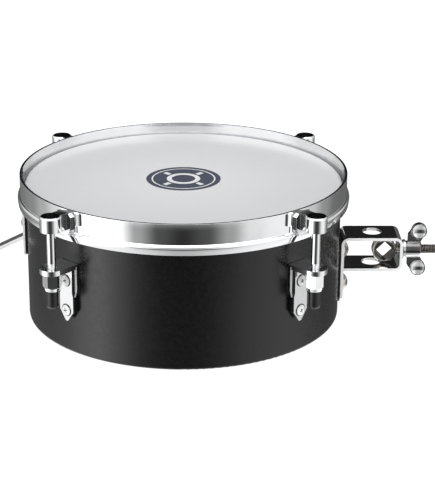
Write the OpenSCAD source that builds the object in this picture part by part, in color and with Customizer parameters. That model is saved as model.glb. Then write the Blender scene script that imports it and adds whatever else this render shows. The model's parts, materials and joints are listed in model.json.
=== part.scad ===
// Shallow single drum with a chrome counter hoop, a rod clamp and a snare throw-off.
// Millimetres, +Z up. The origin is on the floor at the drum's own axis.
// The front of the drum faces -Y, the rod clamp is at +X and the throw-off lever at -X.

/* [Drum] */
// Outside diameter of the shell
shell_d = 254; // [250:1:260]
// Height of the shell
shell_h = 110.9; // [108:0.1:114]
// Thickness of the shell's sheet steel
shell_wall = 1.2; // [1:0.1:1.6]
// Thickness of the drumhead's film
film_t = 0.35; // [0.25:0.05:0.5]

/* [Counter hoop] */
// How far the hoop's top edge stands above the shell
hoop_rise = 8.5; // [7:0.5:10]
// Height of the hoop's wider lower skirt
skirt_h = 7.5; // [7:0.1:8.5]
// Thickness of the hoop's sheet steel
hoop_wall = 1.6; // [1.4:0.1:1.8]

/* [Tension lugs] */
// Angle of the two front lugs from the front, seen from above
front_lug_angle = 43; // [40:1:50]
// Angle of the two rear lugs from the back, seen from above
rear_lug_angle = 46; // [40:1:50]
// Distance from the drum's axis to a tension rod
rod_reach = 145.7; // [145:0.1:147]
// Diameter of a tension rod
rod_d = 7; // [6:0.5:7.5]

/* [Rod clamp] */
// Width of the clamp's steel strap
strap_w = 30.4; // [26:0.1:32]
// Thickness of the clamp's steel strap
strap_t = 2.3; // [2:0.1:2.6]
// Diameter of the two mounting rod holes
rod_hole_d = 15.5; // [14:0.5:17]
// Side of the square hole in the eyebolt
eye_square = 11.6; // [11:0.1:12]

/* [Throw-off] */
// Length of the lever outside its pivot
lever_reach = 35; // [33:1:38]
// Width of the lever
lever_w = 10; // [9:1:11]
// Number of snare wires
wire_count = 12; // [8:2:14]

/* [Hidden] */
LUGS = ["fl", "fr", "rl", "rr"];
lug_angles = [270 - front_lug_angle, 270 + front_lug_angle, 90 + rear_lug_angle, 90 - rear_lug_angle];
$fn = 96;

gap = 0.3;
running_gap = 0.05;
touch = 0.01;

shell_r = shell_d / 2;
shell_in_r = shell_r - shell_wall;
edge_r = 2;
shell_flange = 6;
edge_round = 0.35;

hoop_top = shell_h + hoop_rise;
hoop_in_r = shell_r + 2.9;
hoop_out_r = hoop_in_r + hoop_wall;
step_z = shell_h - 8;
step_w = 2.1;
skirt_out_r = hoop_out_r + step_w;
skirt_in_r = skirt_out_r - hoop_wall;
skirt_bottom = step_z - skirt_h;
shoulder_r = 3;
shoulder_in = skirt_out_r - shoulder_r;
shoulder_z = step_z - sqrt(pow(shoulder_r, 2) - pow(shoulder_r - step_w, 2));

film_slant = 11.5;
collar_len = 10.8;
flesh_in_r = shell_r + 0.7;
flesh_out_r = skirt_in_r - 1;
flesh_top = step_z - hoop_wall;
flesh_h = 4.9;
flesh_slot_in_r = shell_r + 1.2;
flesh_slot_out_r = shell_r + 3;
flesh_floor = 1.2;

cup_r = 8.3;
cup_bottom = step_z + 2.6;
cup_top = step_z + 14.4;
cup_bore_r = 6.7;
cup_floor = 2.4;
cup_lip = [1, 1.1];
pocket_side = 9.4;
pocket_depth = 2.8;
rod_head_side = 9;
rod_head_h = 3.8;
rod_r = rod_d / 2;
rod_clear_r = rod_r + gap;
foot_half_w = 9;
foot_t = 2.2;
foot_bottom = step_z - 1;
foot_chamfer = 2.6;
neck_bottom = step_z + 1.2;
neck_foot_half_w = 5;
neck_cup_half_w = 4.4;

shelf_top = 76;
shelf_t = 1.7;
shelf_end_r = 9.5;
shelf_back_half_w = 9.6;
rim_h = 4;
face_out = shell_r + 4.6;
face_t = 1.6;
channel_half_w = 6.4;
lip_half_w = 8.6;
lip_t = 1.2;
channel_bottom = 52;
channel_chamfer = 4;
lip_root_w = 0.6;
lip_slope_h = 6.5;
tail_half_w = 7.2;
tail_top = 49;
tail_corner_z = 36.5;
tail_tip_z = 28.2;
lug_screw_z = [61.5, 37];
lug_screw_r = 2;
lug_head_r = 5.2;

nut_top = shelf_top - shelf_t - 0.1;
nut_bottom = 57.8;
nut_across_flats = 12.6;
nut_collar_h = 2.6;
nut_turns = [-11, -13, 10, 25];
tip_r = 5;
tip_top = nut_bottom - gap;
tip_bottom = 43.2;
rod_end = tip_bottom + 2.5;

plate_in_x = shell_r + 1;
plate_out_x = plate_in_x + strap_t;
strap_end_x = shell_r + 50.8;
strap_top = 65;
strap_bottom = 36.5;
strap_corner_r = 6;
strap_front_y = -14;
strap_mid_y = strap_front_y + strap_w / 2;
plate_bottom = 7.6;
rod_hole_x = shell_r + 27;
rod_hole_y = 3;
clamp_screw_z = [50.7, 21.9];
clamp_head_r = 7.7;
clamp_head_h = 4.9;
clamp_screw_r = 3;
clamp_screw_in_x = shell_r - 11.5;
clamp_washer_r = 7;
clamp_washer_t = 1.4;
eye_x = shell_r + 37;
eye_z = 50.7;
eye_r = 9.8;
eye_w = 10.5;
eye_chamfer = 1.2;
bolt_r = 4;
bolt_end_x = shell_r + 80;
lock_washer_t = 1.6;
flat_washer_t = 1.8;
washer_r = 8;
flat_washer_x = strap_end_x + lock_washer_t;
wing_x = flat_washer_x + flat_washer_t + 0.4;
wing_boss_l = 12.6;
wing_boss_r = 6.9;
wing_lobe_r = 6.3;
wing_lobe_t = 5;
wing_arm_t = 3.2;
wing_lobe_x = wing_x + 10.6;
wing_dish_r = 5.7;
wing_dish_h = 1.2;
wing_arm_corner = [2.6, 13];
wing_lobe_z = 16;

side_plate_t = 1.6;
side_gasket_out = shell_r + 0.7;
side_plate_out = side_gasket_out + side_plate_t;
side_plate_w = 34;
side_plate_low = 50.5;
side_plate_high = 90;
slot_low = 54.5;
slot_high = 72.5;
slot_w = lever_w + 1.6;
side_screw_y = 12;
side_screw_z = 78;
side_screw_r = 2;
side_head_r = 4.2;
side_head_h = 1.6;
pivot_x = -shell_r + 9;
pivot_z = 68.3;
pivot_r = 2;
lever_slope = 26;
lever_t = 3;
hub_r = 5;
hub_w = 13;
arm_l = 20;
yoke_plate_x = -shell_in_r + 1.1;
yoke_half_w = 16.2;
yoke_t = 1.6;
ear_in = hub_w / 2 + gap;
ear_t = 1.8;

butt_x = shell_in_r - 0.65;
butt_t = 1.6;
butt_hinge_x = butt_x - 14.65;
butt_hinge_z = 102;
butt_pin_r = 1.5;
butt_w = 24;
clamp_seat_x = [butt_x - butt_t - touch, shell_in_r - 0.25];
wire_r = 1.1;
wire_pitch = 3.6;
wire_z = shell_h - 2.2;
end_plate_l = 14;
end_plate_t = 0.9;
end_plate_w = wire_count * wire_pitch + 4;
wire_start_x = -shell_r + 22;
wire_end_x = shell_r - 34;

module place_at(angle) {
    rotate([0, 0, angle])
        rotate([0, 0, -90])
            children();
}

// A ring of the given section's height
module tube(r_out, r_in, h) {
    difference() {
        cylinder(r = r_out, h = h);
        translate([0, 0, -1]) cylinder(r = r_in, h = h + 2);
    }
}

// A round bar along X, Y or Z that starts at the origin
module bar_x(r, l) {
    rotate([0, 90, 0]) cylinder(r = r, h = l);
}

module bar_y(r, l) {
    rotate([-90, 0, 0]) cylinder(r = r, h = l);
}

// A domed round head that stands out along +Z
module dome_head(r, h) {
    ball_r = (r * r + h * h) / (2 * h);
    intersection() {
        cylinder(r = r, h = h);
        translate([0, 0, h - ball_r]) sphere(r = ball_r);
    }
}

module hexagon_nut(across_flats, bore_r, h) {
    difference() {
        cylinder(r = across_flats / sqrt(3), h = h, $fn = 6);
        translate([0, 0, -1]) cylinder(r = bore_r, h = h + 2);
    }
}

// Quarter of a bent sheet's corner, with its centre at the origin
module bend_section(r, t) {
    intersection() {
        difference() {
            circle(r = r);
            circle(r = r - t);
        }
        square(r + 1);
    }
}

module shell_section() {
    translate([shell_in_r, edge_r]) square([shell_wall, shell_h - 2 * edge_r]);
    translate([shell_r - shell_flange, 0]) square([shell_flange - edge_r, shell_wall]);
    translate([shell_r - shell_flange, shell_h - shell_wall])
        square([shell_flange - edge_r, shell_wall]);
    translate([shell_r - edge_r, shell_h - edge_r]) bend_section(edge_r, shell_wall);
    translate([shell_r - edge_r, edge_r]) mirror([0, 1]) bend_section(edge_r, shell_wall);
}

module shell() {
    color("#242424")
    difference() {
        rotate_extrude($fn = 180) shell_section();
        for (angle = lug_angles, z = lug_screw_z)
            place_at(angle) translate([0, 115, z]) bar_y(lug_screw_r + gap, 20);
        for (z = clamp_screw_z)
            translate([115, 0, z]) bar_x(clamp_screw_r + gap, 20);
        side_holes();
    }
}

module film_section() {
    translate([0, shell_h]) square([shell_r - edge_r, film_t]);
    translate([shell_r - edge_r, shell_h - edge_r]) {
        intersection() {
            difference() {
                circle(r = edge_r + film_t);
                circle(r = edge_r);
            }
            polygon([[0, 0], [0, 5], [5, 5], [5, 5 * tan(film_slant)]]);
        }
        rotate(film_slant) translate([edge_r, -collar_len]) square([film_t, collar_len]);
    }
}

module head_film() {
    color("#d2d3d6")
    translate([0, 0, touch]) rotate_extrude($fn = 180) film_section();
}

module flesh_hoop() {
    color("#b8babd")
    translate([0, 0, flesh_top - flesh_h])
    difference() {
        tube(flesh_out_r, flesh_in_r, flesh_h, $fn = 180);
        translate([0, 0, flesh_floor])
            tube(flesh_slot_out_r, flesh_slot_in_r, flesh_h, $fn = 180);
    }
}

// The edge of the hoop's sheet: flat, with small round corners, pointing up
module hoop_edge() {
    translate([edge_round, 0]) square([hoop_wall - 2 * edge_round, edge_round]);
    for (x = [edge_round, hoop_wall - edge_round])
        translate([x, 0]) circle(r = edge_round);
}

module hoop_section() {
    translate([hoop_in_r, flesh_top]) square([hoop_wall, hoop_top - edge_round - flesh_top]);
    translate([hoop_in_r, hoop_top - edge_round]) hoop_edge();
    translate([shoulder_in, shoulder_z]) bend_section(shoulder_r, hoop_wall);
    translate([skirt_in_r, skirt_bottom + edge_round])
        square([hoop_wall, shoulder_z - skirt_bottom - edge_round]);
    translate([skirt_in_r, skirt_bottom + edge_round]) mirror([0, 1]) hoop_edge();
}

module counter_hoop() {
    color("#c9ccd1") rotate_extrude($fn = 180) hoop_section();
}

// The plan of a claw's neck, from the foot that lies against the hoop to the cup
module neck_plan() {
    polygon([
        [-neck_foot_half_w, hoop_out_r - 1], [neck_foot_half_w, hoop_out_r - 1],
        [neck_cup_half_w, rod_reach], [-neck_cup_half_w, rod_reach]
    ]);
}

// The front view of the foot, with its corners cut off
module foot_front() {
    polygon([
        [-foot_half_w + foot_chamfer, foot_bottom], [foot_half_w - foot_chamfer, foot_bottom],
        [foot_half_w, foot_bottom + foot_chamfer], [foot_half_w, cup_top - foot_chamfer],
        [foot_half_w - foot_chamfer, cup_top], [foot_chamfer - foot_half_w, cup_top],
        [-foot_half_w, cup_top - foot_chamfer], [-foot_half_w, foot_bottom + foot_chamfer]
    ]);
}

// What the hoop takes out of a claw, so that the foot stands snugly on its shoulder
module hoop_room() {
    translate([0, 0, shoulder_z]) cylinder(r = hoop_out_r + touch, h = 40, $fn = 720);
    rotate_extrude($fn = 180) translate([shoulder_in, shoulder_z]) circle(r = shoulder_r + touch);
}

module claw(angle) {
    color("#c9ccd1")
    place_at(angle)
    difference() {
        union() {
            translate([0, hoop_out_r + foot_t, 0]) rotate([90, 0, 0]) linear_extrude(foot_t + 1)
                foot_front();
            translate([0, 0, neck_bottom]) linear_extrude(cup_top - neck_bottom) neck_plan();
            translate([0, rod_reach, cup_bottom]) {
                cylinder(r = cup_r, h = cup_top - cup_bottom - cup_lip[1]);
                translate([0, 0, cup_top - cup_bottom - cup_lip[1]])
                    cylinder(r1 = cup_r, r2 = cup_r - cup_lip[0], h = cup_lip[1]);
            }
        }
        translate([0, rod_reach, cup_bottom + cup_floor + pocket_depth]) cylinder(r = cup_bore_r, h = 20);
        translate([-pocket_side / 2, rod_reach - pocket_side / 2, cup_bottom + cup_floor])
            cube([pocket_side, pocket_side, 10]);
        translate([0, rod_reach, cup_bottom - 5]) cylinder(r = rod_clear_r, h = 20);
        hoop_room();
        translate([0, rod_reach, step_z - 5]) cylinder(r = cup_r, h = 5 + cup_bottom - step_z);
    }
}

module tension_rod(angle) {
    head_z = cup_bottom + cup_floor;
    color("#d6d8dc")
    place_at(angle) {
        translate([0, rod_reach, rod_end]) cylinder(r = rod_r, h = head_z - rod_end + 1);
        translate([-rod_head_side / 2, rod_reach - rod_head_side / 2, head_z + touch])
            cube([rod_head_side, rod_head_side, rod_head_h]);
    }
}

module tuning_nut(angle, turn) {
    hex_h = nut_top - nut_bottom - nut_collar_h;
    flat_r = nut_across_flats / 2;
    color("#c9ccd1")
    place_at(angle)
    translate([0, rod_reach, nut_bottom])
    difference() {
        union() {
            translate([0, 0, nut_collar_h])
                intersection() {
                    rotate([0, 0, turn]) cylinder(r = nut_across_flats / sqrt(3), h = hex_h, $fn = 6);
                    cylinder(r1 = flat_r, r2 = flat_r + hex_h, h = hex_h);
                }
            cylinder(r1 = flat_r - 0.7, r2 = flat_r - 0.1, h = nut_collar_h + touch);
        }
        translate([0, 0, -1]) cylinder(r = rod_r + running_gap, h = 20);
    }
}

module rod_tip(angle) {
    color("#1a1a1a")
    place_at(angle)
    translate([0, rod_reach, tip_bottom])
    difference() {
        union() {
            translate([0, 0, 2]) cylinder(r = tip_r, h = tip_top - tip_bottom - 2);
            translate([0, 0, 0.6]) cylinder(r1 = tip_r - 0.9, r2 = tip_r, h = 1.4);
            cylinder(r1 = tip_r - 2, r2 = tip_r - 0.9, h = 0.6);
        }
        translate([0, 0, rod_end - tip_bottom]) cylinder(r = rod_r + touch, h = 20);
    }
}

module shelf_plan(inset) {
    back = shell_r + 0.3;
    translate([0, rod_reach]) circle(r = shelf_end_r - inset);
    polygon([
        [-shelf_back_half_w + inset, back], [shelf_back_half_w - inset, back],
        [shelf_end_r - inset, rod_reach], [inset - shelf_end_r, rod_reach]
    ]);
}

module tail_front() {
    polygon([
        [-channel_half_w, shelf_top - 1], [channel_half_w, shelf_top - 1],
        [channel_half_w, tail_top + 3], [tail_half_w, tail_top], [tail_half_w, tail_corner_z],
        [1.2, tail_tip_z], [-1.2, tail_tip_z], [-tail_half_w, tail_corner_z],
        [-tail_half_w, tail_top], [-channel_half_w, tail_top + 3]
    ]);
}

// Side view of a channel's wall: its lower end slopes out to the front face
module channel_side(depth_in, depth_out) {
    polygon([
        [depth_in, shelf_top - 1], [depth_out, shelf_top - 1],
        [depth_out, channel_bottom - channel_chamfer], [depth_in, channel_bottom]
    ]);
}

// Front view of what is cut from a lip's lower corner: it narrows to the channel's wall
module lip_corner() {
    root = channel_half_w + lip_root_w;
    foot = channel_bottom - channel_chamfer;
    rise = lip_slope_h / (lip_half_w - root);
    polygon([
        [root, foot - 8], [lip_half_w + 1, foot - 8],
        [lip_half_w + 1, foot + lip_slope_h + rise], [root, foot]
    ]);
}

module lug_bracket(angle) {
    lip_in = shell_r + 0.2;
    color("#c9ccd1")
    place_at(angle)
    difference() {
        union() {
            translate([0, face_out, 0]) rotate([90, 0, 0]) linear_extrude(face_t) tail_front();
            for (side = [0, 1])
                mirror([side, 0, 0]) {
                    translate([channel_half_w - face_t, 0, 0])
                        rotate([90, 0, 90])
                            linear_extrude(face_t) channel_side(lip_in, face_out);
                    translate([channel_half_w - face_t, 0, 0])
                        rotate([90, 0, 90])
                            linear_extrude(lip_half_w - channel_half_w + face_t)
                                channel_side(lip_in, lip_in + lip_t);
                }
            translate([0, 0, shelf_top - shelf_t]) linear_extrude(shelf_t) shelf_plan(0);
            intersection() {
                translate([0, 0, shelf_top - rim_h]) linear_extrude(rim_h - touch) difference() {
                    shelf_plan(0);
                    shelf_plan(1.4);
                }
                translate([-20, face_out - face_t, 0]) cube([40, 40, 100]);
            }
        }
        translate([0, rod_reach, 0]) cylinder(r = rod_clear_r, h = 100);
        for (z = lug_screw_z)
            translate([0, shell_r - 2, z]) bar_y(lug_screw_r + gap, 12);
        for (side = [0, 1])
            mirror([side, 0, 0])
                translate([0, lip_in + lip_t + 0.1, 0])
                    rotate([90, 0, 0]) linear_extrude(lip_t + 2) lip_corner();
        translate([0, 0, 20]) cylinder(r = shell_r + 0.1, h = 80, $fn = 720);
    }
}

module lug_spacer(angle) {
    color("#161616")
    place_at(angle)
    difference() {
        translate([0, face_out - face_t, 0])
            rotate([90, 0, 0])
                linear_extrude(8)
                    polygon([
                        [-4.5, shelf_top - 3], [4.5, shelf_top - 3], [4.5, tail_top - 2],
                        [tail_half_w - 0.4, tail_top - 3], [tail_half_w - 0.4, tail_corner_z],
                        [0, tail_tip_z + 1], [0.4 - tail_half_w, tail_corner_z],
                        [0.4 - tail_half_w, tail_top - 3], [-4.5, tail_top - 2]
                    ]);
        for (z = lug_screw_z)
            translate([0, shell_r - 8, z]) bar_y(lug_screw_r + gap, 20);
        translate([0, 0, 20]) cylinder(r = shell_r + touch, h = 80, $fn = 720);
    }
}

module lug_screws() {
    color("#d6d8dc")
    for (angle = lug_angles, z = lug_screw_z)
        place_at(angle) {
            translate([0, shell_r - 8.5, z]) bar_y(lug_screw_r, face_out - shell_r + 9);
            translate([0, face_out + touch, z]) rotate([-90, 0, 0])
                difference() {
                    dome_head(lug_head_r, 1.7);
                    for (turn = [0, 90])
                        rotate([0, 0, turn + 20]) translate([-2, -0.35, 0.9]) cube([4, 0.7, 2]);
                }
        }
}

module lug_washers() {
    color("#b0b2b5")
    for (angle = lug_angles, z = lug_screw_z)
        place_at(angle) translate([0, shell_in_r - 1.6, z]) rotate([-90, 0, 0]) tube(5, lug_screw_r + gap, 1);
}

module lug_hex_nuts() {
    color("#b0b2b5")
    for (angle = lug_angles, z = lug_screw_z)
        place_at(angle) translate([0, shell_in_r - 4.9, z]) rotate([-90, 0, 0])
            hexagon_nut(7, lug_screw_r + touch, 3.2);
}

// The strap seen from the front, as a closed loop with its plate running on down
module strap_section() {
    out_w = strap_end_x - plate_in_x;
    out_h = strap_top - strap_bottom;
    in_r = strap_corner_r - strap_t;
    difference() {
        translate([plate_in_x, strap_bottom]) union() {
            translate([0, 0]) square([out_w - strap_corner_r, out_h - strap_corner_r]);
            translate([strap_corner_r, 0]) square([out_w - 2 * strap_corner_r, out_h]);
            translate([0, strap_corner_r]) square([out_w, out_h - 2 * strap_corner_r]);
            translate([out_w - strap_corner_r, strap_corner_r]) circle(r = strap_corner_r);
            translate([out_w - strap_corner_r, out_h - strap_corner_r]) circle(r = strap_corner_r);
            translate([strap_corner_r, out_h - strap_corner_r]) circle(r = strap_corner_r);
        }
        translate([plate_out_x, strap_bottom + strap_t]) union() {
            in_w = out_w - 2 * strap_t;
            in_h = out_h - 2 * strap_t;
            square([in_w - in_r, in_h - in_r]);
            translate([in_r, 0]) square([in_w - 2 * in_r, in_h]);
            translate([0, in_r]) square([in_w, in_h - 2 * in_r]);
            translate([in_w - in_r, in_r]) circle(r = in_r);
            translate([in_w - in_r, in_h - in_r]) circle(r = in_r);
            translate([in_r, in_h - in_r]) circle(r = in_r);
        }
    }
}

module clamp_plate() {
    corner = 9;
    half = strap_w / 2;
    translate([plate_in_x, strap_mid_y, 0])
        rotate([90, 0, 90])
            linear_extrude(strap_t) {
                translate([-half, plate_bottom + corner])
                    square([strap_w, strap_bottom + 6 - plate_bottom - corner]);
                translate([-half + corner, plate_bottom]) square([strap_w - 2 * corner, corner + 1]);
                for (side = [-1, 1])
                    translate([side * (half - corner), plate_bottom + corner]) circle(r = corner);
            }
}

module clamp_bracket() {
    color("#c9ccd1")
    difference() {
        union() {
            translate([0, strap_front_y + strap_w, 0])
                rotate([90, 0, 0]) linear_extrude(strap_w) strap_section();
            clamp_plate();
        }
        translate([rod_hole_x, rod_hole_y, 20]) cylinder(r = rod_hole_d / 2, h = 60);
        for (z = clamp_screw_z)
            translate([shell_r, 0, z]) bar_x(clamp_screw_r + gap, 5);
        translate([strap_end_x - 5, 0, eye_z]) bar_x(bolt_r + gap, 10);
    }
}

module clamp_gasket() {
    corner = 8;
    half = strap_w / 2;
    color("#161616")
    difference() {
        translate([shell_r - 3, strap_mid_y, 0])
            rotate([90, 0, 90])
                linear_extrude(plate_in_x - shell_r + 3 - touch) {
                    translate([-half, plate_bottom + corner])
                        square([strap_w, strap_top - 1.5 - plate_bottom - corner]);
                    translate([corner - half, plate_bottom]) square([strap_w - 2 * corner, corner + 1]);
                    for (side = [-1, 1])
                        translate([side * (half - corner), plate_bottom + corner]) circle(r = corner);
                }
        for (z = clamp_screw_z)
            translate([shell_r - 10, 0, z]) bar_x(clamp_screw_r + gap, 20);
        cylinder(r = shell_r + touch, h = 80, $fn = 720);
    }
}

module clamp_screws() {
    color("#d6d8dc")
    for (z = clamp_screw_z)
        translate([0, 0, z]) {
            translate([clamp_screw_in_x, 0, 0]) bar_x(clamp_screw_r, plate_out_x - clamp_screw_in_x + 0.5);
            translate([plate_out_x + touch, 0, 0]) rotate([0, 90, 0]) dome_head(clamp_head_r, clamp_head_h);
        }
}

module clamp_hex_nuts() {
    color("#b0b2b5")
    for (i = [0, 1])
        translate([clamp_seat_x[i], 0, clamp_screw_z[i]]) rotate([0, -90, 0]) {
            tube(clamp_washer_r, clamp_screw_r + gap, clamp_washer_t);
            translate([0, 0, clamp_washer_t + touch]) hexagon_nut(10, clamp_screw_r + touch, 4.5);
        }
}

module eyebolt() {
    color("#cfd2d6")
    translate([eye_x, 0, eye_z])
    difference() {
        union() {
            translate([0, eye_chamfer - eye_w / 2, 0]) bar_y(eye_r, eye_w - 2 * eye_chamfer);
            for (side = [0, 1])
                mirror([0, side, 0])
                    translate([0, eye_w / 2 - eye_chamfer, 0]) rotate([-90, 0, 0])
                        cylinder(r1 = eye_r, r2 = eye_r - eye_chamfer, h = eye_chamfer);
            translate([eye_r - 2, 0, 0]) bar_x(bolt_r, bolt_end_x - eye_x - eye_r + 2);
        }
        rotate([0, 45, 0])
            translate([-eye_square / 2, -10, -eye_square / 2])
                cube([eye_square, 20, eye_square]);
    }
}

module lock_washer() {
    color("#a9acb0")
    translate([strap_end_x + touch, 0, eye_z]) rotate([0, 90, 0])
        difference() {
            tube(washer_r - 1.2, bolt_r + gap, lock_washer_t - 2 * touch);
            translate([0, -0.5, -1]) cube([20, 1, 5]);
        }
}

module flat_washer() {
    color("#cfd2d6")
    translate([flat_washer_x, 0, eye_z]) rotate([0, 90, 0])
        tube(washer_r, bolt_r + gap, flat_washer_t);
}

// One wing of the nut, on its upper (1) or lower (-1) side: an arm that ends in a round pad
module wing(side) {
    translate([0, wing_arm_t / 2, 0]) rotate([90, 0, 0]) linear_extrude(wing_arm_t)
        hull() {
            translate([wing_lobe_x, eye_z + side * wing_lobe_z]) circle(r = wing_lobe_r - 0.6);
            translate([wing_x + wing_arm_corner[0], eye_z + side * wing_arm_corner[1]]) circle(r = 1);
            translate([wing_x + 1.5, eye_z + side * 4]) square([9, 0.5]);
        }
    translate([wing_lobe_x, -wing_lobe_t / 2, eye_z + side * wing_lobe_z]) bar_y(wing_lobe_r, wing_lobe_t);
}

module wing_nut() {
    dish_ball_r = (wing_dish_r * wing_dish_r + wing_dish_h * wing_dish_h) / (2 * wing_dish_h);
    dish_y = wing_lobe_t / 2 + dish_ball_r - wing_dish_h;
    color("#c9ccd1")
    difference() {
        union() {
            translate([wing_x, 0, eye_z]) rotate([0, 90, 0]) {
                cylinder(r = wing_boss_r, h = wing_boss_l - 1.5);
                translate([0, 0, wing_boss_l - 1.5])
                    cylinder(r1 = wing_boss_r, r2 = wing_boss_r - 1.2, h = 1.5);
            }
            for (side = [-1, 1]) wing(side);
        }
        for (side = [-1, 1], face = [-1, 1])
            translate([wing_lobe_x, face * dish_y, eye_z + side * wing_lobe_z]) sphere(r = dish_ball_r);
        translate([wing_x - 1, 0, eye_z]) bar_x(bolt_r + running_gap, 20);
    }
}

// Outline of the throw-off's plates, with round corners
module side_outline(half_w, low, high, corner) {
    translate([-half_w + corner, low]) square([2 * (half_w - corner), high - low]);
    translate([-half_w, low + corner]) square([2 * half_w, high - low - 2 * corner]);
    for (side = [-1, 1], z = [low + corner, high - corner])
        translate([side * (half_w - corner), z]) circle(r = corner);
}

module side_holes() {
    for (side = [-1, 1])
        translate([-shell_r - 10, side * side_screw_y, side_screw_z]) bar_x(side_screw_r + gap, 20);
    translate([-shell_r - 10, -slot_w / 2, slot_low]) cube([20, slot_w, slot_high - slot_low]);
}

module strainer_plate() {
    color("#c9ccd1")
    difference() {
        translate([-side_plate_out, 0, 0]) rotate([90, 0, 90])
            linear_extrude(side_plate_t - touch)
                side_outline(side_plate_w / 2, side_plate_low, side_plate_high, 4);
        side_holes();
    }
}

module strainer_gasket() {
    color("#161616")
    difference() {
        translate([-side_gasket_out, 0, 0]) rotate([90, 0, 90])
            linear_extrude(5)
                side_outline(side_plate_w / 2 - 0.6, side_plate_low + 0.6, side_plate_high - 0.6, 4);
        side_holes();
        cylinder(r = shell_r + touch, h = 100, $fn = 720);
    }
}

module strainer_yoke() {
    color("#b0b2b5")
    difference() {
        union() {
            translate([yoke_plate_x, 0, 0]) rotate([90, 0, 90])
                linear_extrude(yoke_t) side_outline(yoke_half_w, side_plate_low, side_screw_z + 5, 3);
            for (side = [0, 1])
                mirror([0, side, 0]) {
                    translate([yoke_plate_x, ear_in, pivot_z - 6])
                        cube([pivot_x - yoke_plate_x, ear_t, 12]);
                    translate([pivot_x, ear_in, pivot_z]) bar_y(6, ear_t);
                }
        }
        side_holes();
        translate([pivot_x, -20, pivot_z]) bar_y(pivot_r + touch, 40);
    }
}

module strainer_screws() {
    color("#d6d8dc")
    for (side = [-1, 1])
        translate([-side_plate_out, side * side_screw_y, side_screw_z]) {
            translate([-0.5, 0, 0]) bar_x(side_screw_r, 11);
            translate([-touch, 0, 0]) rotate([0, -90, 0]) dome_head(side_head_r, side_head_h);
        }
}

module strainer_hex_nuts() {
    color("#b0b2b5")
    for (side = [-1, 1])
        translate([yoke_plate_x + yoke_t + touch, side * side_screw_y, side_screw_z])
            rotate([0, 90, 0]) hexagon_nut(7, side_screw_r + touch, 3);
}

module pivot_pin() {
    color("#d6d8dc")
    translate([pivot_x, 0, pivot_z]) {
        translate([0, -ear_in - ear_t - 1, 0]) bar_y(pivot_r, 2 * (ear_in + ear_t + 1));
        for (side = [0, 1])
            mirror([0, side, 0])
                translate([0, ear_in + ear_t + touch, 0]) bar_y(pivot_r + 1.2, 1);
    }
}

module strainer_lever() {
    color("#c9ccd1")
    translate([pivot_x, 0, pivot_z])
    difference() {
        union() {
            rotate([0, -lever_slope, 0]) {
                translate([-lever_reach, -lever_w / 2, -lever_t / 2]) cube([lever_reach, lever_w, lever_t]);
                translate([-lever_reach, -lever_w / 2, 0]) bar_y(lever_t / 2, lever_w);
                translate([0, -lever_w / 2, -lever_t / 2]) cube([arm_l, lever_w, lever_t]);
            }
            translate([0, -hub_w / 2, 0]) bar_y(hub_r, hub_w);
            rotate([0, -lever_slope, 0]) translate([arm_l, 0, -lever_t / 2])
                cylinder(r = lever_w / 2, h = lever_t);
        }
        translate([0, -20, 0]) bar_y(pivot_r + running_gap, 40);
    }
}

module snare_butt_bracket() {
    leg = butt_x - butt_hinge_x;
    color("#b0b2b5")
    difference() {
        union() {
            translate([butt_x - butt_t, -butt_w / 2, 40]) cube([butt_t, butt_w, butt_hinge_z - 40 + 3]);
            for (side = [0, 1])
                mirror([0, side, 0]) {
                    translate([butt_hinge_x, butt_w / 2 - 2, butt_hinge_z - 3.5]) cube([leg, 2, 6.5]);
                    translate([butt_hinge_x, butt_w / 2 - 2, butt_hinge_z - 0.25]) bar_y(3.25, 2);
                }
        }
        translate([butt_x - 5, 0, clamp_screw_z[0]]) bar_x(clamp_screw_r + gap, 10);
        translate([butt_hinge_x, -20, butt_hinge_z]) bar_y(butt_pin_r + touch, 40);
    }
}

module snare_hinge_pin() {
    color("#d6d8dc")
    translate([butt_hinge_x, -butt_w / 2 - 1, butt_hinge_z]) bar_y(butt_pin_r, butt_w + 2);
}

module snare_end_plates() {
    plate_z = wire_z - wire_r - end_plate_t - touch;
    knuckle_half = butt_w / 2 - 2 - gap;
    color("#c08a50") {
        translate([wire_start_x, -end_plate_w / 2, plate_z]) cube([end_plate_l, end_plate_w, end_plate_t]);
        difference() {
            union() {
                translate([wire_end_x - end_plate_l, -end_plate_w / 2, plate_z])
                    cube([end_plate_l, end_plate_w, end_plate_t]);
                translate([wire_end_x - 4, -knuckle_half, plate_z])
                    cube([butt_hinge_x - wire_end_x + 4, 2 * knuckle_half, end_plate_t]);
                translate([butt_hinge_x - 3, -knuckle_half, butt_hinge_z])
                    cube([6, 2 * knuckle_half, plate_z + end_plate_t - butt_hinge_z]);
                translate([butt_hinge_x, -knuckle_half, butt_hinge_z]) bar_y(3, 2 * knuckle_half);
            }
            translate([butt_hinge_x, -20, butt_hinge_z]) bar_y(butt_pin_r + running_gap, 40);
        }
    }
}

module snare_wires() {
    color("#c9ccd1")
    for (i = [0 : wire_count - 1])
        translate([wire_start_x + 3, (i - (wire_count - 1) / 2) * wire_pitch, wire_z])
            bar_x(wire_r, wire_end_x - wire_start_x - 6);
}

shell();
head_film();
flesh_hoop();
counter_hoop();
for (i = [0 : 3]) {
    claw(lug_angles[i]);
    tension_rod(lug_angles[i]);
    tuning_nut(lug_angles[i], nut_turns[i]);
    rod_tip(lug_angles[i]);
    lug_bracket(lug_angles[i]);
    lug_spacer(lug_angles[i]);
}
lug_screws();
lug_washers();
lug_hex_nuts();
clamp_bracket();
clamp_gasket();
clamp_screws();
clamp_hex_nuts();
eyebolt();
lock_washer();
flat_washer();
wing_nut();
strainer_plate();
strainer_gasket();
strainer_yoke();
strainer_screws();
strainer_hex_nuts();
pivot_pin();
strainer_lever();
snare_butt_bracket();
snare_hinge_pin();
snare_end_plates();
snare_wires();
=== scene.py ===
import json
import math

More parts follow.
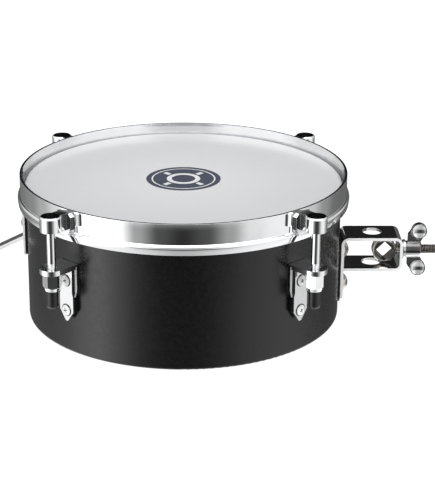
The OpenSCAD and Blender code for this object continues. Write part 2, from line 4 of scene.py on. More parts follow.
import bmesh
import bpy
import numpy as np
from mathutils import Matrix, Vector


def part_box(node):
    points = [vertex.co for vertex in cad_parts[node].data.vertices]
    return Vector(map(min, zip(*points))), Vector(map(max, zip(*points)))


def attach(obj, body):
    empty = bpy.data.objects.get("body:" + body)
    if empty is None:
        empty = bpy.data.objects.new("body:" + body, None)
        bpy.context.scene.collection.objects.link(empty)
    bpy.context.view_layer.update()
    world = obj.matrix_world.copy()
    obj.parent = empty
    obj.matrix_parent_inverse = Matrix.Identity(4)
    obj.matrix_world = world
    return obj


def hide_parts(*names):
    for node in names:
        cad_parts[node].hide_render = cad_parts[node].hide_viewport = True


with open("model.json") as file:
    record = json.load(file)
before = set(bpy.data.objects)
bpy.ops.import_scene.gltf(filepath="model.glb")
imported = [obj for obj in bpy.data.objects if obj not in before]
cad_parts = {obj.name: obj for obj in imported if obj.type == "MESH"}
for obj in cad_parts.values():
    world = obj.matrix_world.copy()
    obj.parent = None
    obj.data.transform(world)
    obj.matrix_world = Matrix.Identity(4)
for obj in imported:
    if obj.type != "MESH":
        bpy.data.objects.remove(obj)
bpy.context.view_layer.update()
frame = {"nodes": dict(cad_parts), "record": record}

MM = 0.001
LUGS = ("fl", "fr", "rl", "rr")
FLAT = 0.9  # how far a face's normal must agree with a direction to count as facing it
SCENE = bpy.context.scene


# ---------------------------------------------------------------- camera

def make_camera():
    """A long lens in front of the drum, looking down at 20.7 degrees."""
    data = bpy.data.cameras.new("camera")
    data.sensor_width = 36
    data.lens = 122.74
    data.shift_x = 0.0687
    data.clip_end = 60
    camera = bpy.data.objects.new("camera", data)
    camera.location = (0, -1.2924, 0.5402)
    camera.rotation_euler = (math.radians(90 - 20.7), 0, 0)
    SCENE.collection.objects.link(camera)
    SCENE.camera = camera


make_camera()


# ---------------------------------------------------------------- material helpers

def feed(tree, item, socket):
    """Sets a socket to a number, or links an output to it."""
    if isinstance(item, (int, float)):
        socket.default_value = item
    else:
        tree.links.new(item, socket)


def math_node(tree, operation, *items):
    node = tree.nodes.new("ShaderNodeMath")
    node.operation = operation
    for item, socket in zip(items, node.inputs):
        feed(tree, item, socket)
    return node.outputs["Value"]


class Graph:
    """A material's node tree, with short calls for the nodes that the materials here share."""

    def __init__(self, name):
        self.material = bpy.data.materials.new(name)
        self.material.use_nodes = True
        self.tree = self.material.node_tree
        self.shader = self.tree.nodes["Principled BSDF"]
        self.place = self.tree.nodes.new("ShaderNodeTexCoord").outputs["Object"]

    def set(self, **values):
        for socket, value in values.items():
            self.shader.inputs[socket.replace("_", " ")].default_value = value

    def link(self, output, node, socket):
        self.tree.links.new(output, node.inputs[socket])

    def noise(self, scale, detail=3.0, rough=0.5, vector=None):
        node = self.tree.nodes.new("ShaderNodeTexNoise")
        node.inputs["Scale"].default_value = scale
        node.inputs["Detail"].default_value = detail
        node.inputs["Roughness"].default_value = rough
        self.link(vector or self.place, node, "Vector")
        return node.outputs["Fac"]

    def stretch(self, factors):
        node = self.tree.nodes.new("ShaderNodeMapping")
        node.inputs["Scale"].default_value = factors
        self.link(self.place, node, "Vector")
        return node.outputs["Vector"]

    def remap(self, value, low, high, start=0.3, end=0.7):
        node = self.tree.nodes.new("ShaderNodeMapRange")
        node.inputs["From Min"].default_value = start
        node.inputs["From Max"].default_value = end
        node.inputs["To Min"].default_value = low
        node.inputs["To Max"].default_value = high
        self.link(value, node, "Value")
        return node.outputs["Result"]

    def blend(self, factor, dark, light):
        node = self.tree.nodes.new("ShaderNodeMix")
        node.data_type = "RGBA"
        node.inputs["A"].default_value = (*dark, 1)
        node.inputs["B"].default_value = (*light, 1)
        self.link(factor, node, "Factor")
        return node.outputs["Result"]

    def math(self, operation, a, b):
        return math_node(self.tree, operation, a, b)

    def bump(self, height, strength, distance):
        node = self.tree.nodes.new("ShaderNodeBump")
        node.inputs["Strength"].default_value = strength
        node.inputs["Distance"].default_value = distance
        self.link(height, node, "Height")
        self.link(node.outputs["Normal"], self.shader, "Normal")

    def colour(self, output):
        self.link(output, self.shader, "Base Color")

    def roughness(self, output):
        self.link(output, self.shader, "Roughness")


def plated(name, dark, light, smooth, hazy, wave=0.00002, metal=1.0):
    """Bright plated metal: faint waves in the plating, and a haze that varies over it."""
    g = Graph(name)
    g.set(Metallic=metal)
    haze = g.noise(90, 4)
    g.colour(g.blend(g.remap(haze, 0, 1), dark, light))
    scratches = g.noise(900, 2, 0.7, g.stretch((1, 1, 0.12)))
    both = g.math("ADD", g.math("MULTIPLY", haze, 0.7), g.math("MULTIPLY", scratches, 0.3))
    g.roughness(g.remap(both, smooth, hazy, 0.35, 0.65))
    g.bump(g.noise(45, 2), 0.12, wave)
    return g.material


def brushed(name, dark, light, rough_low, rough_high):
    """Plain zinc or drawn metal, with a fine grain."""
    g = Graph(name)
    g.set(Metallic=1.0)
    grain = g.noise(700, 3, 0.6, g.stretch((0.2, 1, 1)))
    cloud = g.noise(60, 3)
    g.colour(g.blend(g.remap(cloud, 0, 1), dark, light))
    g.roughness(g.remap(grain, rough_low, rough_high))
    g.bump(grain, 0.15, 0.00005)
    return g.material


def powder_coat():
    """Satin black powder coat: a fine orange peel over the sheet steel."""
    g = Graph("black_powder_coat")
    peel = g.noise(1500, 2, 0.6)
    cloud = g.noise(18, 3)
    g.colour(g.blend(g.remap(cloud, 0, 1), (0.0014, 0.0014, 0.0015), (0.0026, 0.0025, 0.0025)))
    g.roughness(g.remap(g.noise(260, 3), 0.23, 0.30))
    g.set(Specular_IOR_Level=0.5)
    g.bump(peel, 0.18, 0.00008)
    return g.material


def coated_film():
    """Light grey film with a sprayed coating, a little cloudy, with painted shade that darkens it towards
    the hoop.
    """
    g = Graph("coated_film")
    reach = g.tree.nodes.new("ShaderNodeVectorMath")
    reach.operation = "LENGTH"
    g.link(g.stretch((1, 1, 0)), reach, 0)
    cloud = g.math("MULTIPLY", g.noise(22, 3), 0.3)
    # Painted shade: the film is lighter towards the middle and darker towards the hoop
    hoop_shade_ramp = g.remap(reach.outputs["Value"], 0.7, 0, 0.02, 0.1)
    g.colour(g.blend(g.math("ADD", cloud, hoop_shade_ramp), (0.60, 0.605, 0.62), (0.70, 0.705, 0.72)))
    g.roughness(g.remap(g.noise(160, 3), 0.20, 0.26))
    g.bump(g.noise(1100, 2, 0.6), 0.03, 0.00002)
    return g.material


def ink(name, colour):
    """Printed ink on the film, thinner in places."""
    g = Graph(name)
    thin = tuple(min(1, c * 1.25 + 0.01) for c in colour)
    g.colour(g.blend(g.remap(g.noise(700, 4, 0.7), 0, 1), colour, thin))
    g.roughness(g.remap(g.noise(400, 3), 0.32, 0.42))
    g.bump(g.noise(1100, 2, 0.6), 0.08, 0.00003)
    return g.material


def black_rubber():
    """Matt black rubber and plastic: the spacers, the gaskets and the rods' tips."""
    g = Graph("black_rubber")
    g.colour(g.blend(g.remap(g.noise(160, 4), 0, 1), (0.004, 0.004, 0.004), (0.009, 0.009, 0.009)))
    g.roughness(g.remap(g.noise(300, 3), 0.24, 0.36))
    g.bump(g.noise(1300, 2, 0.6), 0.12, 0.00006)
    return g.material


# The drum's finishes, three of them painted light and shade: dark and light tone, then the least and the
# most roughness
# Satin plating that is also a painted highlight: a near-white, mostly non-metallic tone stands in for
# bright reflections on chrome faces
SATIN_HIGHLIGHT = plated("satin_painted_highlight", (0.90, 0.905, 0.91), (0.95, 0.95, 0.955), 0.48, 0.58, metal=0.3)
# Painted shade and painted dark reflection: a darker copy of the chrome for faces in shade or facing dark
# surroundings
PAINTED_DARK_CHROME = plated("painted_dark_chrome", (0.13, 0.13, 0.13), (0.18, 0.18, 0.175), 0.12, 0.20)
# Painted shade: a nearly black copy of the chrome for recesses, grooves and walls that lie in shade or face
# dark surroundings
PAINTED_SHADE = plated("painted_shade_recess", (0.02, 0.02, 0.02), (0.04, 0.04, 0.04), 0.30, 0.45)
CHROME = plated("chrome_plate", (0.86, 0.87, 0.88), (0.92, 0.925, 0.93), 0.025, 0.07)
STEEL = plated("plated_steel", (0.50, 0.47, 0.44), (0.60, 0.57, 0.54), 0.10, 0.18)
ZINC = brushed("zinc_plate", (0.48, 0.49, 0.50), (0.62, 0.62, 0.61), 0.28, 0.42)
ALLOY = brushed("hoop_alloy", (0.60, 0.61, 0.62), (0.68, 0.69, 0.70), 0.25, 0.38)
WIRE = brushed("snare_steel", (0.55, 0.55, 0.55), (0.72, 0.72, 0.71), 0.18, 0.3)
BRASS = brushed("snare_brass", (0.60, 0.40, 0.17), (0.72, 0.50, 0.24), 0.22, 0.36)
BLACK = powder_coat()
FILM = coated_film()
RUBBER = black_rubber()
BADGE_DARK = ink("badge_dark", (0.055, 0.062, 0.085))
BADGE_LIGHT = ink("badge_light", (0.62, 0.63, 0.64))


# ---------------------------------------------------------------- mesh helpers

def finish_piece(mesh_name, bm, material, body, nodes=(), smooth_angle=35):
    """Turns a bmesh into a piece that rides on a body and stands for CAD nodes."""
    bmesh.ops.recalc_face_normals(bm, faces=bm.faces)
    mesh = bpy.data.meshes.new(mesh_name)
    bm.to_mesh(mesh)
    bm.free()
    mesh.shade_smooth()
    mesh.set_sharp_from_angle(angle=math.radians(smooth_angle))
    mesh.materials.append(material)
    piece = bpy.data.objects.new(mesh_name, mesh)
    SCENE.collection.objects.link(piece)
    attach(piece, body)
    if nodes:
        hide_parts(*nodes)
    return piece


def node_body(node):
    return next(b for b, members in frame["record"]["behaviour"]["bodies"].items() if node in members)


def from_node(node):
    """The CAD node's mesh as a clean bmesh, with its flat faces whole again."""
    bm = bmesh.new()
    bm.from_mesh(frame["nodes"][node].data)
    bmesh.ops.remove_doubles(bm, verts=bm.verts, dist=0.003 * MM)
    bmesh.ops.dissolve_limit(bm, angle_limit=math.radians(0.6), verts=bm.verts, edges=bm.edges,
                             use_dissolve_boundaries=False)
    return bm


def round_edges(piece, width, segments, angle=32, miter="MITER_ARC"):
    """Rounds the edges that are sharper than an angle in degrees; the width is in mm."""
    bevel = piece.modifiers.new("rounded_edges", "BEVEL")
    bevel.width = width * MM
    bevel.segments = segments
    bevel.limit_method = "ANGLE"
    bevel.angle_limit = math.radians(angle)
    bevel.harden_normals = True
    bevel.miter_outer = miter


def softened(node, name, material, width, segments=2, angle=32):
    """The CAD node with its sharp edges rounded, as a cast, pressed or turned part has them."""
    piece = finish_piece(name, from_node(node), material, node_body(node), (node,))
    round_edges(piece, width, segments, angle)
    return piece


def paint_light_and_shade(piece, material, chosen):
    """Gives the faces that chosen(centre, normal) picks another material, which here paints light or shade
    on them.
    """
    mesh = piece.data
    mesh.materials.append(material)
    for face in mesh.polygons:
        if chosen(face.center, face.normal):
            face.material_index = len(mesh.materials) - 1


def arc(cx, cz, r, start, end, steps):
    """Points of an arc in a profile, in degrees from +r towards +z."""
    turn = [math.radians(start + (end - start) * i / steps) for i in range(steps + 1)]
    return [(cx + r * math.cos(t), cz + r * math.sin(t)) for t in turn]


def spin(profile, steps, closed=True):
    """A profile of (radius, height) points in mm turned round Z, as a bmesh."""
    bm = bmesh.new()
    rings = []
    for r, z in profile:
        if r == 0:
            rings.append([bm.verts.new((0, 0, z * MM))])
            continue
        rings.append([bm.verts.new((r * MM * math.cos(2 * math.pi * i / steps),
                                    r * MM * math.sin(2 * math.pi * i / steps), z * MM))
                      for i in range(steps)])
    following = rings[1:] + rings[:1] if closed else rings[1:]
    for a, b in zip(rings, following):
        for i in range(steps):
            j = (i + 1) % steps
            corners = [a[i % len(a)], a[j % len(a)], b[j % len(b)], b[i % len(b)]]
            bm.faces.new(list(dict.fromkeys(corners)))
    return bm


def grid_mesh(points):
    """A bmesh through rows of points; each row is closed into a ring, and the ends are capped."""
    bm = bmesh.new()
    rows = [[bm.verts.new(p) for p in row] for row in points]
    n = len(rows[0])
    for a, b in zip(rows, rows[1:]):
        for i in range(n):
            j = (i + 1) % n
            bm.faces.new((a[i], a[j], b[j], b[i]))
    bm.faces.new(rows[0][::-1])
    bm.faces.new(rows[-1])
    return bm


def add_mesh(target, source):
    """Adds one bmesh to another, and frees the first."""
    mesh = bpy.data.meshes.new("added")
    source.to_mesh(mesh)
    source.free()
    target.from_mesh(mesh)
    bpy.data.meshes.remove(mesh)


def threaded_bar(length, radius, pitch, thread_from, thread_to, sides=36, chamfer=0.6):
    """Rings of points along +Z for a bar in mm that has a real thread between two heights."""
    depth = 0.61 * pitch
    rings_per_turn = 8
    flank, crest = 1.35, 0.1
    count = int(round(length * rings_per_turn / pitch))
    rows = []
    for k in range(count + 1):
        z = length * k / count
        row = []
        for i in range(sides):
            turn = i / sides
            phase = (z / pitch - turn) % 1
            groove = min(1, max(0, flank * (abs(phase - 0.5) * 2) - crest))
            run_out = min(1, max(0, (z - thread_from) / pitch), max(0, (thread_to - z) / pitch))
            end_gap = min(z, length - z)
            r = radius - depth * groove * run_out - max(0, chamfer - end_gap)
            row.append((r * math.cos(2 * math.pi * turn), r * math.sin(2 * math.pi * turn), z))
        rows.append(row)
    return rows


# ---------------------------------------------------------------- drum

def set_material(node, material, angle=35):
    """A CAD node that keeps its own shape gets its finish."""
    mesh = frame["nodes"][node].data
    mesh.materials.clear()
    mesh.materials.append(material)
    mesh.shade_smooth()
    mesh.set_sharp_from_angle(angle=math.radians(angle))


def make_drum():
    """The hoop's upper wall, fillet, rounded shoulder and leaning skirt are one turned profile."""
    low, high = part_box("counter_hoop")
    skirt_r = high.x / MM
    top = high.z / MM
    bottom = low.z / MM
    wall = 1.6
    thicker = 0.4
    step_out = 2.1
    skirt_h = 7.5
    edge = 0.14
    shoulder = 3
    fillet = 0.5
    lean = 6.5
    outer = skirt_r - step_out
    inner = outer - wall - thicker
    step_top = bottom + skirt_h
    seat = step_top - wall
    middle = skirt_r - shoulder
    shoulder_z = step_top - math.sqrt(shoulder ** 2 - (shoulder - step_out) ** 2)
    fillet_z = shoulder_z + math.sqrt((shoulder + fillet) ** 2 - (outer + fillet - middle) ** 2)
    meet = math.degrees(math.atan2(fillet_z - shoulder_z, outer + fillet - middle))
    drop = (shoulder_z - bottom) * math.tan(math.radians(lean))
    foot_out = skirt_r - drop
    foot_in = foot_out - wall
    profile = [(inner, seat), (inner, top - edge)]
    profile += arc(inner + edge, top - edge, edge, 180, 90, 3)[1:]
    profile += arc(outer - edge, top - edge, edge, 90, 0, 3)
    profile += arc(outer + fillet, fillet_z, fillet, 180, 180 + meet, 5)
    profile += arc(middle, shoulder_z, shoulder, meet, -lean, 16)[1:]
    profile += arc(foot_out - edge, bottom + edge, edge, -lean, -90, 4)
    profile += arc(foot_in + edge, bottom + edge, edge, 270, 180, 4)
    profile += arc(middle, shoulder_z, shoulder - wall, 0, 90, 5)
    finish_piece("chrome_counter_hoop", spin(profile, 360), CHROME, node_body("counter_hoop"),
                 ("counter_hoop",))
    set_material("shell", BLACK)
    set_material("head_film", FILM, 60)
    set_material("flesh_hoop", ALLOY)


def make_badge():
    """A plain printed disc with generic rings and four short bars, in two layers of ink."""
    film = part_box("head_film")[1].z / MM
    steps = 128
    radius = 30
    low, high = film + 0.01, film + 0.03
    disc = spin([(0, high), (radius, high), (radius, low), (0, low)], steps, closed=False)
    finish_piece("badge_disc", disc, BADGE_DARK, node_body("head_film"))
    low, high = film + 0.04, film + 0.06
    marks = bmesh.new()
    for inner, outer in ((24.6, 25.8), (9.5, 13.5)):
        add_mesh(marks, spin([(inner, low), (inner, high), (outer, high), (outer, low)], steps))
    bar_from, bar_to, bar_half = 15.5, 21.5, 2
    outline = ((bar_from, -bar_half), (bar_to, -bar_half), (bar_to, bar_half), (bar_from, bar_half))
    for k in range(4):
        middle = math.radians(45 + 90 * k)
        along = Vector((math.cos(middle), math.sin(middle), 0))
        across = Vector((-along.y, along.x, 0))
        corners = [along * r + across * w for r, w in outline]
        lower = [marks.verts.new((c.x * MM, c.y * MM, low * MM)) for c in corners]
        upper = [marks.verts.new((c.x * MM, c.y * MM, high * MM)) for c in corners]
        marks.faces.new(upper)
        marks.faces.new(lower[::-1])
        for i in range(4):
            j = (i + 1) % 4
            marks.faces.new((lower[i], lower[j], upper[j], upper[i]))
    finish_piece("badge_marks", marks, BADGE_LIGHT, node_body("head_film"))


# ---------------------------------------------------------------- lugs

def outward(lug):
    """The direction from the drum's axis to a lug's rod."""
    low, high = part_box(f"tension_rod_{lug}")
    return Vector((low.x + high.x, low.y + high.y, 0)).normalized()


def make_rod(lug):
    """A tension rod with its square head, and a rolled thread on its lower part."""
    node = f"tension_rod_{lug}"
    low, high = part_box(node)
    x, y = (low.x + high.x) / 2, (low.y + high.y) / 2
    bottom = low.z / MM
    head_h = 3.8
    head_half = 4.5
    head_bottom = high.z / MM - head_h
    edge = 0.4
    radius = 3.5
    pitch = 1
    thread_top = 79.5
    length = head_bottom - bottom + edge
    rows = threaded_bar(length, radius, pitch, -pitch, thread_top - bottom)
    bm = grid_mesh([[(x + px * MM, y + py * MM, (pz + bottom) * MM) for px, py, pz in row] for row in rows])
    angle = math.atan2(y, x)
    turned = []
    for z, inset in ((0, edge), (edge, 0), (head_h - edge, 0), (head_h, edge)):
        side = head_half - inset
        square = [(side * a, side * b) for a, b in ((-1, -1), (1, -1), (1, 1), (-1, 1))]
        turned.append([(x + (a * math.cos(angle) - b * math.sin(angle)) * MM,
                        y + (a * math.sin(angle) + b * math.cos(angle)) * MM,
                        (head_bottom + z) * MM) for a, b in square])
    add_mesh(bm, grid_mesh(turned))
    finish_piece(f"threaded_rod_{lug}", bm, CHROME, node_body(node), (node,), 30)


def make_lug_screws():
    """Low-domed heads: satin plating with a painted highlight on the face, painted shade in the cross
    recess and on the rim.
    """
    screws = softened("lug_screws", "cross_head_screws", CHROME, 0.12, 1, 40)
    ways = [outward(lug) for lug in LUGS]
    low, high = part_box("lug_screws")
    head_r = 5.2 * MM
    heights = (low.z + head_r, high.z - head_r)
    under_head = 131.6 * MM
    recess_floor = 132.2 * MM
    recess_mouth = 132.95 * MM
    recess_r = 2.3 * MM
    rim_r = 4.4 * MM

    def facing(centre):
        return max(ways, key=centre.dot)

    def off_axis(centre):
        """How far a point is from the axis of the screw that it belongs to."""
        way = facing(centre)
        z = min(heights, key=lambda level: abs(level - centre.z))
        across = centre - way * centre.dot(way)
        return math.hypot(across.x, across.y, centre.z - z)

    def face_of_head(centre, normal):
        way = facing(centre)
        return centre.dot(way) > under_head and normal.dot(way) > 0.8

    def recess(centre, normal):
        return recess_floor < centre.dot(facing(centre)) < recess_mouth and off_axis(centre) < recess_r

    def rim(centre, normal):
        return centre.dot(facing(centre)) > under_head and off_axis(centre) > rim_r

    # Painted highlight: the outward face of each head is near-white satin
    paint_light_and_shade(screws, SATIN_HIGHLIGHT, face_of_head)
    # Painted shade in the cross recess
    paint_light_and_shade(screws, PAINTED_SHADE, recess)
    # Painted shade: a darker rim round each head
    paint_light_and_shade(screws, PAINTED_DARK_CHROME, rim)


def make_claw(lug):
    """A bright claw, with painted shade inside its cup: a nearly black copy of the chrome."""
    claw = softened(f"claw_{lug}", f"cast_claw_{lug}", CHROME, 0.35, 3)
    low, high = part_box(f"tension_rod_{lug}")
    axis = (low + high) / 2
    cup_r = 6.8 * MM
    cup_floor = high.z - 5 * MM

    def in_cup(centre, normal):
        return math.hypot(centre.x - axis.x, centre.y - axis.y) < cup_r and centre.z > cup_floor

    # Painted shade inside the cup
    paint_light_and_shade(claw, PAINTED_SHADE, in_cup)


def make_bracket(lug):
    """Folded sheet: painted shade darkens its channel's walls, and its lips on the shell get satin plating
    with a painted highlight.
    """
    bracket = softened(f"lug_bracket_{lug}", f"folded_bracket_{lug}", CHROME, 0.3, 2)
    way = outward(lug)
    sideways = Vector((-way.y, way.x, 0))
    wall_from, wall_to = 6.2 * MM, 6.6 * MM
    lip_reach = 129.5 * MM

    def channel_wall(centre, normal):
        return abs(normal.dot(sideways)) > FLAT and wall_from < abs(centre.dot(sideways)) < wall_to

    def lip(centre, normal):
        return normal.dot(way) > 0.95 and centre.dot(way) < lip_reach

    # Painted shade and painted dark reflection on the channel's walls
    paint_light_and_shade(bracket, PAINTED_SHADE, channel_wall)
    # Painted highlight on the lips
    paint_light_and_shade(bracket, SATIN_HIGHLIGHT, lip)


def make_lugs():
    for lug in LUGS:
        make_claw(lug)
        nut = softened(f"tuning_nut_{lug}", f"turned_nut_{lug}", CHROME, 0.25, 2, 40)
        flats = nut.modifiers.new("true_flats", "WEIGHTED_NORMAL")
        flats.weight = 100
        flats.keep_sharp = True
        softened(f"rod_tip_{lug}", f"rubber_tip_{lug}", RUBBER, 0.5, 3, 25)
        make_bracket(lug)
        softened(f"lug_spacer_{lug}", f"rubber_block_{lug}", RUBBER, 0.3, 2)
        make_rod(lug)
    make_lug_screws()
    set_material("lug_washers", ZINC)
    set_material("lug_hex_nuts", ZINC)


# ---------------------------------------------------------------- rod clamp

def make_eyebolt():
    """The eye keeps its CAD shape with rounded edges; its shank gets a real thread, with painted shade in
    its grooves.
    """
    low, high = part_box("eyebolt")
    eye_d = (high.z - low.z) / MM
    z = (low.z + high.z) / 2 / MM
    neck = 0.6
    cut_at = low.x / MM + eye_d + neck
    bm = from_node("eyebolt")
    bmesh.ops.bisect_plane(bm, geom=bm.verts[:] + bm.edges[:] + bm.faces[:],
                           plane_co=(cut_at * MM, 0, 0), plane_no=(1, 0, 0), clear_outer=True)
    bmesh.ops.holes_fill(bm, edges=[e for e in bm.edges if e.is_boundary])
    eye = finish_piece("forged_eye", bm, STEEL, "eyebolt", ("eyebolt",))
    round_edges(eye, 0.5, 3, miter="MITER_SHARP")
    overlap = 0.4
    start = cut_at - overlap
    length = high.x / MM - start
    radius = 4
    pitch = 1.25
    groove_r = 3.62 * MM
    rows = threaded_bar(length, radius, pitch, neck, length + 2 * pitch, 40, 0.8)
    shank = grid_mesh([[((start + pz) * MM, px * MM, (z + py) * MM) for px, py, pz in row] for row in rows])
    shank = finish_piece("threaded_shank", shank, STEEL, "eyebolt", (), 30)
    # Painted shade in the thread's grooves
    paint_light_and_shade(shank, PAINTED_SHADE, lambda centre, normal: (
        math.hypot(centre.y, centre.z - z * MM) < groove_r))


def make_wing_nut():
    """A cast nut: its pads' dishes and the underside of its hub keep the bright chrome, and the rest gets
    painted dark reflection, a darker copy of it.
    """
    wing = softened("wing_nut", "cast_wing_nut", CHROME, 0.5, 3, 30)
    low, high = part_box("wing_nut")
    middle = (low.z + high.z) / 2
    pad_from_edge = 6.3 * MM
    pad_z = (high.z - low.z) / 2 - pad_from_edge
    pad_x = high.x - pad_from_edge
    pad_r = 6.5 * MM
    hub_r = 6.4 * MM

    def painted_dark_part(centre, normal):
        off_middle = abs(centre.z - middle)
        under_hub = normal.z < -0.2 and off_middle < hub_r
        return not under_hub and math.hypot(centre.x - pad_x, off_middle - pad_z) > pad_r

    # Painted dark reflection and painted shade on all but the pads and the hub's underside
    paint_light_and_shade(wing, PAINTED_DARK_CHROME, painted_dark_part)


def make_clamp():
    strap = softened("clamp_bracket", "bent_clamp_strap", CHROME, 0.45, 3)
    # The strap's faces that face the front and back get satin plating with a painted highlight
    paint_light_and_shade(strap, SATIN_HIGHLIGHT, lambda centre, normal: abs(normal.y) > FLAT)
    softened("clamp_gasket", "clamp_pad", RUBBER, 0.3, 2)
    make_wing_nut()
    softened("flat_washer", "pressed_washer", CHROME, 0.25, 2)
    softened("lock_washer", "split_washer", STEEL, 0.2, 2)
    set_material("clamp_screws", STEEL, 40)
    set_material("clamp_hex_nuts", ZINC)
    make_eyebolt()


# ---------------------------------------------------------------- throw-off and snares

def make_snare_wires():
    """Each wire is a real coil, wound to the size of the bar that stands for it in the CAD."""
    low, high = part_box("snare_wires")
    outer = (high.z - low.z) / 2
    spacing = 3.6 * MM
    across = high.y - low.y - 2 * outer
    count = int(round(across / spacing)) + 1
    wire = 0.24 * MM
    coil = outer - wire
    pitch = 1.5 * MM
    length = high.x - low.x - 2 * wire
    z = (low.z + high.z) / 2
    per_turn = 12
    sides = 5
    steps = int(length / pitch * per_turn)
    along = np.arange(steps + 1)
    turn = along / per_turn * 2 * math.pi
    x = low.x + wire + length * along / steps
    radial = np.stack([np.zeros_like(turn), np.cos(turn), np.sin(turn)], 1)
    axis = np.array([1.0, 0, 0])
    verts = []
    faces = []
    for k in range(count):
        y = low.y + outer + k * across / (count - 1)
        centre = np.stack([x, y + coil * radial[:, 1], z + coil * radial[:, 2]], 1)
        base = len(verts)
        for s in range(len(centre)):
            for i in range(sides):
                a = 2 * math.pi * i / sides
                verts.append(centre[s] + wire * (math.cos(a) * radial[s] + math.sin(a) * axis))
        for s in range(len(centre) - 1):
            for i in range(sides):
                j = (i + 1) % sides
                p, q = base + s * sides, base + (s + 1) * sides
                faces.append((p + i, p + j, q + j, q + i))
        faces.append(tuple(base + i for i in range(sides))[::-1])
        faces.append(tuple(base + (len(centre) - 1) * sides + i for i in range(sides)))
    mesh = bpy.data.meshes.new("snare_coils")
    mesh.from_pydata(verts, [], faces)
    mesh.shade_smooth()
    mesh.materials.append(WIRE)
    piece = bpy.data.objects.new("snare_coils", mesh)
    SCENE.collection.objects.link(piece)
    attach(piece, node_body("snare_wires"))
    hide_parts("snare_wires")


def make_throw_off():
    plate = softened("strainer_plate", "pressed_side_plate", CHROME, 0.4, 3)
    lever = softened("strainer_lever", "throw_lever", CHROME, 0.5, 3)
    # The plate's and lever's faces that face the front and back get satin plating with a painted highlight
    for piece in (plate, lever):
        paint_light_and_shade(piece, SATIN_HIGHLIGHT, lambda centre, normal: abs(normal.y) > FLAT)
    softened("strainer_gasket", "side_pad", RUBBER, 0.2, 2)
    softened("strainer_yoke", "pivot_yoke", ZINC, 0.3, 2)
    softened("snare_butt_bracket", "butt_bracket", ZINC, 0.3, 2)
    softened("snare_end_plates", "soldered_end_plates", BRASS, 0.2, 2)
    set_material("strainer_screws", CHROME, 40)
    for node in ("strainer_hex_nuts", "pivot_pin", "snare_hinge_pin"):
        set_material(node, ZINC)
    make_snare_wires()


# ---------------------------------------------------------------- studio

# Radiance of the studio by azimuth in degrees: 0 is the front, -Y, and 90 is +X
LOW_BAND = [(-180, 0.1), (-150, 0.2), (-128, 0.27), (-112, 0.44), (-96, 0.75), (-80, 1.7), (-64, 2.7),
            (-46, 1.4), (-32, 0.4), (-16, 0.08), (0, 0.03), (16, 0.08), (32, 0.36), (46, 0.8),
            (64, 0.95), (80, 0.95), (96, 0.6), (112, 0.3), (128, 0.16), (150, 0.14), (180, 0.1)]
FLOOR_BAND = [(-180, 1.0), (-120, 1.6), (-60, 1.0), (0, 0.5), (60, 1.0), (120, 1.6), (180, 1.0)]
BACKDROP = [(-180, 0.08), (-152, 0.12), (-132, 0.7), (-100, 0.7), (-75, 1.3), (-35, 1.3), (-12, 0.5),
            (12, 0.5), (35, 1.2), (75, 1.1), (100, 0.7), (132, 0.7), (152, 0.12), (180, 0.08)]
HIGH_BAND = [(-180, 0.015), (-150, 0.02), (-128, 0.9), (-100, 1.1), (-75, 1.3), (-35, 1.3), (-12, 0.5),
             (12, 0.5), (35, 1.2), (75, 1.1), (100, 0.9), (128, 0.7), (150, 0.02), (180, 0.015)]
TOP_LIGHT = 3.1
TOP_BACK = 0.5
FLOOR_GLOW = 0.86


def direction_ramp(tree, value, stops):
    """A ramp from an azimuth, 0 to 1 for -180 to 180 degrees, to a radiance."""
    peak = max(level for _, level in stops)
    ramp = tree.nodes.new("ShaderNodeValToRGB")
    ramp.color_ramp.interpolation = "EASE"
    elements = ramp.color_ramp.elements
    while len(elements) > 1:
        elements.remove(elements[-1])
    for k, (azimuth, level) in enumerate(stops):
        element = elements[0] if k == 0 else elements.new(0.5 + azimuth / 360)
        element.position = 0.5 + azimuth / 360
        element.color = (level / peak, level / peak, level / peak, 1)
    tree.links.new(value, ramp.inputs["Fac"])
    return math_node(tree, "MULTIPLY", ramp.outputs["Color"], peak)


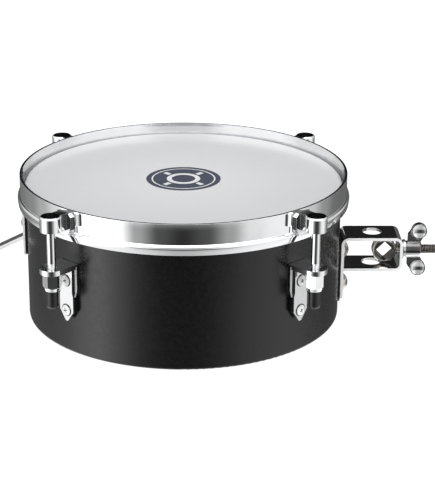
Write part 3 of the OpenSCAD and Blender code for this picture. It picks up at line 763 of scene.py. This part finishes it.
def make_world():
    """A soft studio: bright panels at both sides, a top light and a dark wall behind the drum."""
    world = bpy.data.worlds.new("studio")
    SCENE.world = world
    world.use_nodes = True
    tree = world.node_tree
    background = tree.nodes["Background"]

    def fade(value, start, end, low, high):
        """Low below the start, high above the end, and a smooth step between them."""
        node = tree.nodes.new("ShaderNodeMapRange")
        node.interpolation_type = "SMOOTHSTEP"
        sockets = ("Value", "From Min", "From Max", "To Min", "To Max")
        for name, item in zip(sockets, (value, start, end, low, high)):
            feed(tree, item, node.inputs[name])
        return node.outputs["Result"]

    where = tree.nodes.new("ShaderNodeTexCoord").outputs["Generated"]
    split = tree.nodes.new("ShaderNodeSeparateXYZ")
    tree.links.new(where, split.inputs[0])
    forward = math_node(tree, "MULTIPLY", split.outputs["Y"], -1)
    angle = math_node(tree, "ARCTAN2", split.outputs["X"], forward)
    azimuth = math_node(tree, "ADD", math_node(tree, "DIVIDE", angle, 2 * math.pi), 0.5)
    height = split.outputs["Z"]
    low_band = direction_ramp(tree, azimuth, LOW_BAND)
    high_band = direction_ramp(tree, azimuth, HIGH_BAND)
    backdrop = direction_ramp(tree, azimuth, BACKDROP)
    floor_band = direction_ramp(tree, azimuth, FLOOR_BAND)
    floor_side = fade(height, -0.6, -0.4, floor_band, low_band)
    wall = fade(height, -0.14, 0.0, floor_side, backdrop)
    side = fade(height, 0.2, 0.3, wall, high_band)
    top = fade(split.outputs["Y"], -0.1, 0.35, TOP_LIGHT, TOP_BACK)
    radiance = fade(height, 0.72, 0.86, side, top)
    seen = tree.nodes.new("ShaderNodeLightPath").outputs["Is Camera Ray"]
    mix = tree.nodes.new("ShaderNodeMix")
    tree.links.new(seen, mix.inputs["Factor"])
    tree.links.new(radiance, mix.inputs["A"])
    mix.inputs["B"].default_value = 1.0
    tree.links.new(mix.outputs["Result"], background.inputs["Color"])


def make_floor():
    """A plain pale floor, a hair below the drum's rim, with a faint mottle and a glow of its own."""
    mesh = bpy.data.meshes.new("floor")
    size = 14
    mesh.from_pydata([(-size, -size, 0), (size, -size, 0), (size, size, 0), (-size, size, 0)], [],
                     [(0, 1, 2, 3)])
    g = Graph("pale_floor")
    g.colour(g.blend(g.remap(g.noise(3, 2), 0, 1), (0.28, 0.28, 0.28), (0.30, 0.30, 0.30)))
    g.roughness(g.remap(g.noise(40, 2), 0.85, 0.95))
    g.set(Specular_IOR_Level=0.1, Emission_Color=(1, 1, 1, 1), Emission_Strength=FLOOR_GLOW)
    mesh.materials.append(g.material)
    floor = bpy.data.objects.new("floor", mesh)
    floor.location.z = -0.02 * MM
    floor.visible_glossy = False
    SCENE.collection.objects.link(floor)


def make_studio():
    make_world()
    make_floor()
    SCENE.view_settings.view_transform = "Standard"
    SCENE.view_settings.look = "None"


make_drum()
make_badge()
make_lugs()
make_clamp()
make_throw_off()
make_studio()
